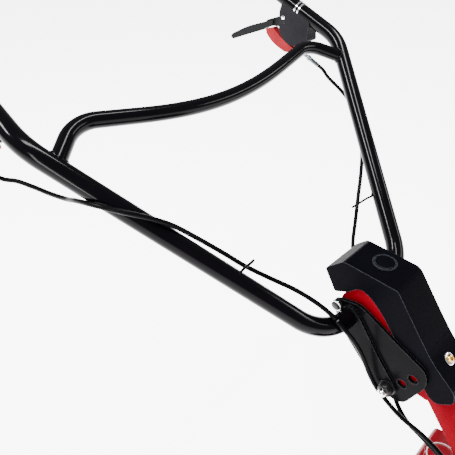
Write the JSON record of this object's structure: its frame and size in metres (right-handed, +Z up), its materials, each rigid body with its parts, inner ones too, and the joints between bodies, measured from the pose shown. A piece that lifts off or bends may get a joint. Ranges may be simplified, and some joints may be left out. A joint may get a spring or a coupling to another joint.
{
  "type": "reel mower",
  "caption": "Powered walk-behind reel mower with a flared tube handlebar on a leaning column, clutch levers and cables, helical reel, bed knife, rollers and small engine.",
  "frame": {"origin": "on the ground, below the middle of the machine's bounding box", "axes": "+Z up, +Y towards the operator, +X to the operator's left"},
  "size_m": [0.6872, 1.3056, 1.0652],
  "materials": {
    "gloss_black_tube": "glossy black powder coat",
    "grip_rubber": "moulded, ribbed",
    "housing_plastic": "fine moulded texture",
    "lever_plastic": "satin",
    "latch_red": "satin red",
    "chrome_small": "bright plated",
    "arm_black": "black paint",
    "steel_bright": "machined and plated",
    "reel_steel": "painted, ground edges",
    "knob_black": "moulded",
    "cable_black": "smooth sheath",
    "red_paint": "glossy crimson",
    "cover_plastic": "satin black",
    "shroud_black": "satin black",
    "cast_engine": "cast",
    "roller_alloy": "turned",
    "belt_rubber": "dull",
    "shroud_red": "glossy red"
  },
  "bodies": {
    "frame": {"steering_column": "red_paint", "column_foot": "red_paint", "column_cover": "cover_plastic", "cover_cap": "cover_plastic", "cover_screw": "steel_bright", "head_tie_bolt": "chrome_small", "sector_plate_left": "arm_black", "sector_plate_right": "arm_black", "side_plate_left": "red_paint", "side_plate_right": "red_paint", "cross_beam": "red_paint", "engine_deck": "red_paint", "rear_tie_bar": "steel_bright", "deflector": "arm_black", "bed_bar": "arm_black", "bed_knife": "steel_bright", "belt_cover": "shroud_black", "reel_belt": "belt_rubber", "drive_belt": "belt_rubber", "engine_block": "cast_engine", "blower_housing": "shroud_black", "recoil_cover": "shroud_red", "fuel_tank": "shroud_red", "muffler": "steel_bright", "air_cleaner": "shroud_black", "clutch_cable_right_lower": "cable_black", "clutch_cable_left_lower": "cable_black"},
    "handlebar": {"handlebar_tube": "gloss_black_tube", "crossbar": "gloss_black_tube", "grip_left": "grip_rubber", "grip_right": "grip_rubber", "lever_housing_left": "housing_plastic", "lever_housing_right": "housing_plastic", "cable_adjuster_left": "chrome_small", "cable_adjuster_right": "chrome_small", "handle_arm_left": "arm_black", "handle_arm_right": "arm_black", "lock_bolt_left": "steel_bright", "clutch_cable_right_upper": "cable_black", "clutch_cable_left_upper": "cable_black"},
    "lever_left": {"clutch_lever_left": "lever_plastic"},
    "lever_right": {"clutch_lever_right": "lever_plastic"},
    "latch_left": {"safety_latch_left": "latch_red"},
    "latch_right": {"safety_latch_right": "latch_red"},
    "knob": {"lock_knob": "knob_black"},
    "reel": {"reel_shaft": "steel_bright", "reel_cage": "reel_steel", "reel_pulley": "cast_engine"},
    "crank": {"crankshaft": "steel_bright"},
    "axle": {"rear_axle": "steel_bright"},
    "roller_left": {"rear_roller_left": "roller_alloy"},
    "roller_right": {"rear_roller_right": "roller_alloy"},
    "front_carrier": {"roller_bracket_left": "arm_black", "roller_bracket_right": "arm_black"},
    "front_roll": {"front_roller": "roller_alloy"},
    "clamp_left": {"clamp_knob_left": "knob_black"},
    "clamp_right": {"clamp_knob_right": "knob_black"},
    "starter": {"starter_handle": "knob_black"},
    "tank_cap": {"fuel_cap": "shroud_red"}
  },
  "joints": [
    {"name": "handlebar_height", "type": "hinge", "parent": "frame", "child": "handlebar", "pos_m": [0, 0.01922, 0.68], "axis": [1, 0, 0], "range_deg": [-24, 0]},
    {"name": "clutch_lever_left_squeeze", "type": "hinge", "parent": "handlebar", "child": "lever_left", "pos_m": [0.323, 0.47042, 0.9545], "axis": [1, 0, 0], "range_deg": [0, 40], "stiffness_Nm_per_rad": 1, "springref_deg": -17.19},
    {"name": "clutch_lever_right_squeeze", "type": "hinge", "parent": "handlebar", "child": "lever_right", "pos_m": [-0.323, 0.47042, 0.9545], "axis": [1, 0, 0], "range_deg": [0, 40], "stiffness_Nm_per_rad": 1, "springref_deg": -17.19},
    {"name": "safety_latch_left_press", "type": "hinge", "parent": "handlebar", "child": "latch_left", "pos_m": [0.323, 0.44502, 0.9051], "axis": [1, 0, 0], "range_deg": [-15, 0], "stiffness_Nm_per_rad": 0.4, "springref_deg": 17.19},
    {"name": "safety_latch_right_press", "type": "hinge", "parent": "handlebar", "child": "latch_right", "pos_m": [-0.323, 0.44502, 0.9051], "axis": [1, 0, 0], "range_deg": [-15, 0], "stiffness_Nm_per_rad": 0.4, "springref_deg": 17.19},
    {"name": "lock_knob_turn", "type": "hinge", "parent": "handlebar", "child": "knob", "pos_m": [-0.057, -0.06374, 0.59469], "axis": [1, 0, 0], "continuous": true},
    {"name": "reel_spin", "type": "hinge", "parent": "frame", "child": "reel", "pos_m": [0, -0.50278, 0.098], "axis": [1, 0, 0], "continuous": true},
    {"name": "crank_spin", "type": "hinge", "parent": "frame", "child": "crank", "pos_m": [0, -0.24278, 0.288], "axis": [1, 0, 0], "continuous": true},
    {"name": "rear_axle_spin", "type": "hinge", "parent": "frame", "child": "axle", "pos_m": [0, -0.23278, 0.08], "axis": [1, 0, 0], "continuous": true},
    {"name": "rear_roller_left_spin", "type": "hinge", "parent": "frame", "child": "roller_left", "pos_m": [0.108, -0.23278, 0.08], "axis": [1, 0, 0], "continuous": true},
    {"name": "rear_roller_right_spin", "type": "hinge", "parent": "frame", "child": "roller_right", "pos_m": [-0.108, -0.23278, 0.08], "axis": [1, 0, 0], "continuous": true},
    {"name": "cutting_height", "type": "slide", "parent": "frame", "child": "front_carrier", "axis": [0, 0, 1], "range_m": [0, 0.015]},
    {"name": "front_roller_spin", "type": "hinge", "parent": "front_carrier", "child": "front_roll", "pos_m": [0, -0.61778, 0.035], "axis": [1, 0, 0], "continuous": true},
    {"name": "clamp_knob_left_turn", "type": "hinge", "parent": "frame", "child": "clamp_left", "pos_m": [0.243, -0.61778, 0.128], "axis": [1, 0, 0], "continuous": true},
    {"name": "clamp_knob_right_turn", "type": "hinge", "parent": "frame", "child": "clamp_right", "pos_m": [-0.243, -0.61778, 0.128], "axis": [1, 0, 0], "continuous": true},
    {"name": "starter_pull", "type": "slide", "parent": "frame", "child": "starter", "axis": [0, -0.7071, 0.7071], "range_m": [0, 0.5], "stiffness_N_per_m": 20, "springref_m": -0.1},
    {"name": "fuel_cap_turn", "type": "hinge", "parent": "frame", "child": "tank_cap", "pos_m": [0.042, -0.15978, 0.4], "axis": [0, 0, 1], "continuous": true}
  ],
  "couplings": [
    {"joint": "crank_spin", "follows": "reel_spin", "ratio": 1.4062},
    {"joint": "rear_axle_spin", "follows": "reel_spin", "ratio": 0.625},
    {"joint": "rear_roller_left_spin", "follows": "reel_spin", "ratio": 0.625},
    {"joint": "rear_roller_right_spin", "follows": "reel_spin", "ratio": 0.625}
  ]
}
